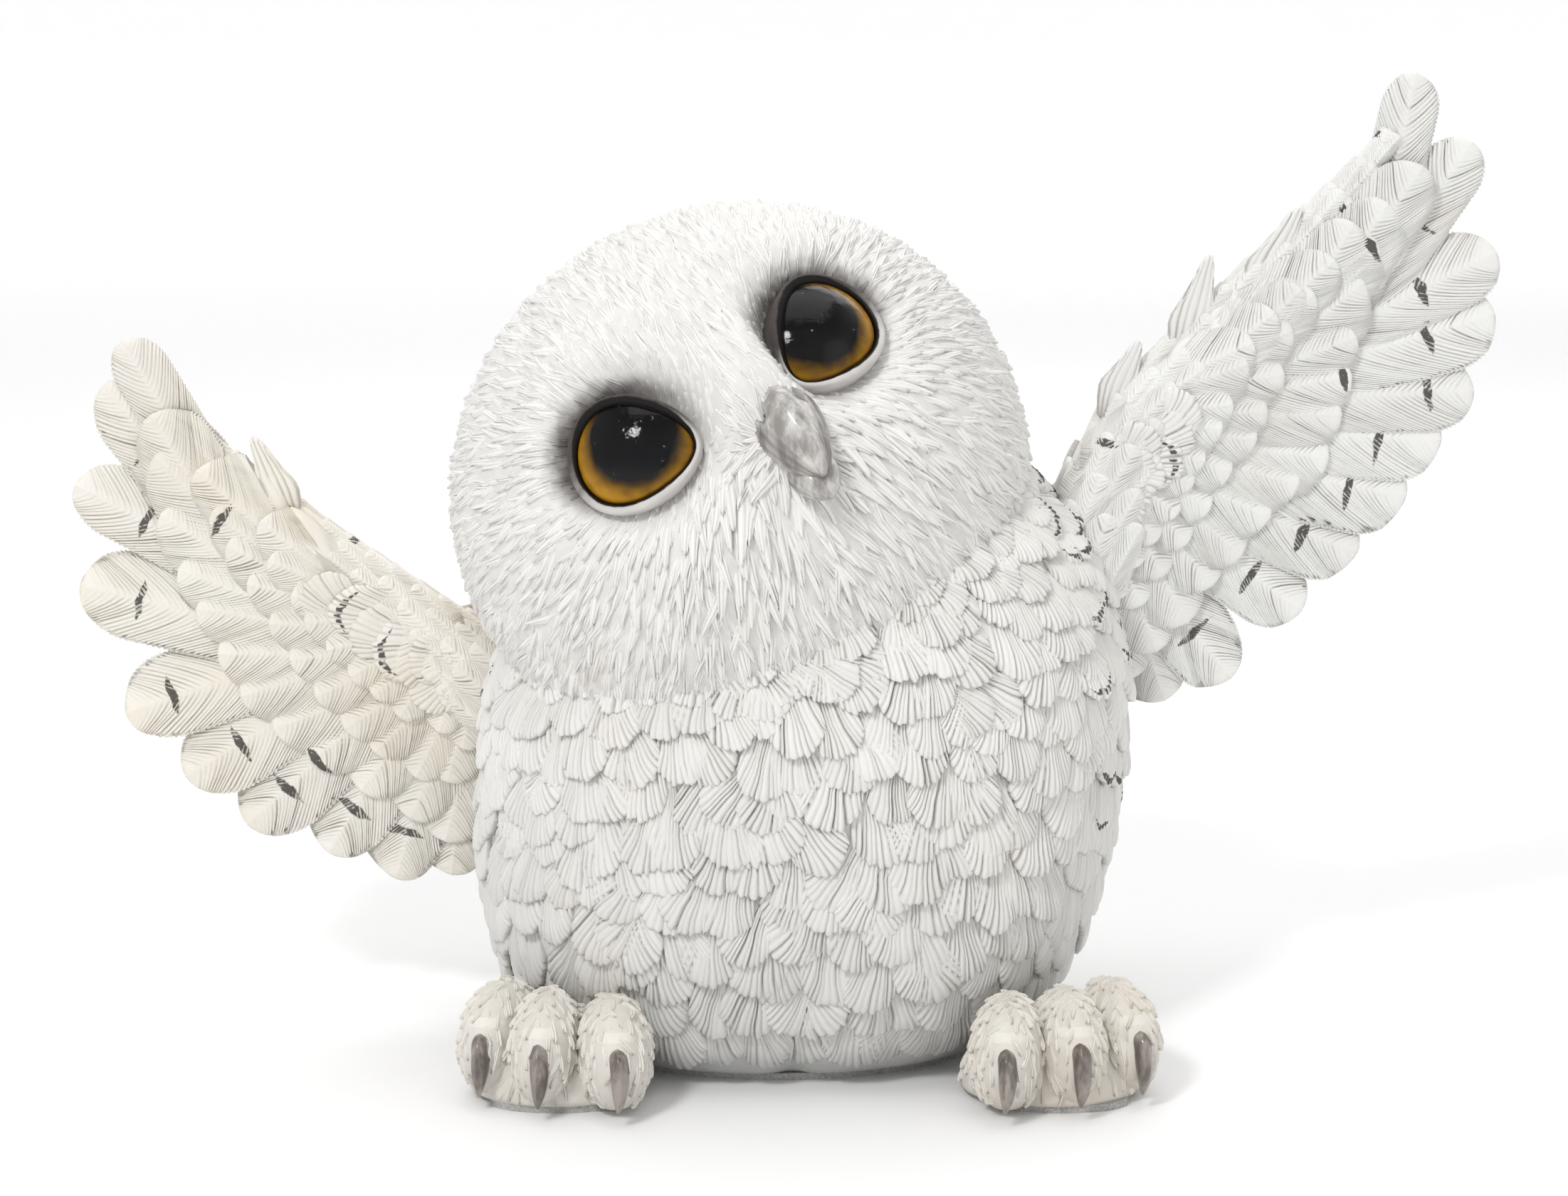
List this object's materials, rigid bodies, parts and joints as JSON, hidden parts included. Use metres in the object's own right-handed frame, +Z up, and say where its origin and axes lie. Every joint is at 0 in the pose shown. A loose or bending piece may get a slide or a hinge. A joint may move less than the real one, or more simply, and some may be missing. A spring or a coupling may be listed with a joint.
{
  "type": "owl figurine",
  "caption": "Free-standing resin owl figurine with a tilted head, glossy domed eyes and raised, spread wings, resting on furry feet and a flat base.",
  "frame": {"origin": "on the table, under the middle of the flat base between the feet", "axes": "+Z up, -Y out of the owl's belly towards the viewer, +X to the owl's left, along the wing span"},
  "size_m": [0.2013, 0.0884, 0.135],
  "materials": {
    "body_resin": "matte painted cast resin, warm white with a grey wash in the grooves",
    "head_resin": "matte painted cast resin, warm white, airbrushed dark brown round the eyes",
    "left_wing_resin": "matte painted cast resin, cool white with black brush strokes",
    "right_wing_resin": "matte painted cast resin, cream with black brush strokes",
    "foot_resin": "matte painted cast resin, cream knuckles",
    "beak_resin": "satin marbled grey",
    "claw_resin": "satin brown-grey",
    "eye_glass": "clear, glossy dome",
    "iris_paint": "amber with a soft black pupil",
    "eyelid_putty": "smooth pale grey",
    "pin_steel": "plain steel rod",
    "felt": "thin dark grey felt",
    "plug_rubber": "soft black plug"
  },
  "bodies": {
    "root": {"body_casting": "body_resin", "head_casting": "head_resin", "beak": "beak_resin", "left_eye_lens": "eye_glass", "right_eye_lens": "eye_glass", "left_iris_disc": "iris_paint", "right_iris_disc": "iris_paint", "left_eyelid_ring": "eyelid_putty", "right_eyelid_ring": "eyelid_putty", "left_wing": "left_wing_resin", "right_wing": "right_wing_resin", "left_wing_pins": "pin_steel", "right_wing_pins": "pin_steel", "neck_pin": "pin_steel", "left_foot": "foot_resin", "right_foot": "foot_resin", "left_claws": "claw_resin", "right_claws": "claw_resin", "left_foot_pin": "pin_steel", "right_foot_pin": "pin_steel", "left_foot_felt": "felt", "right_foot_felt": "felt", "base_felt": "felt", "fill_plug": "plug_rubber"}
  },
  "joints": []
}
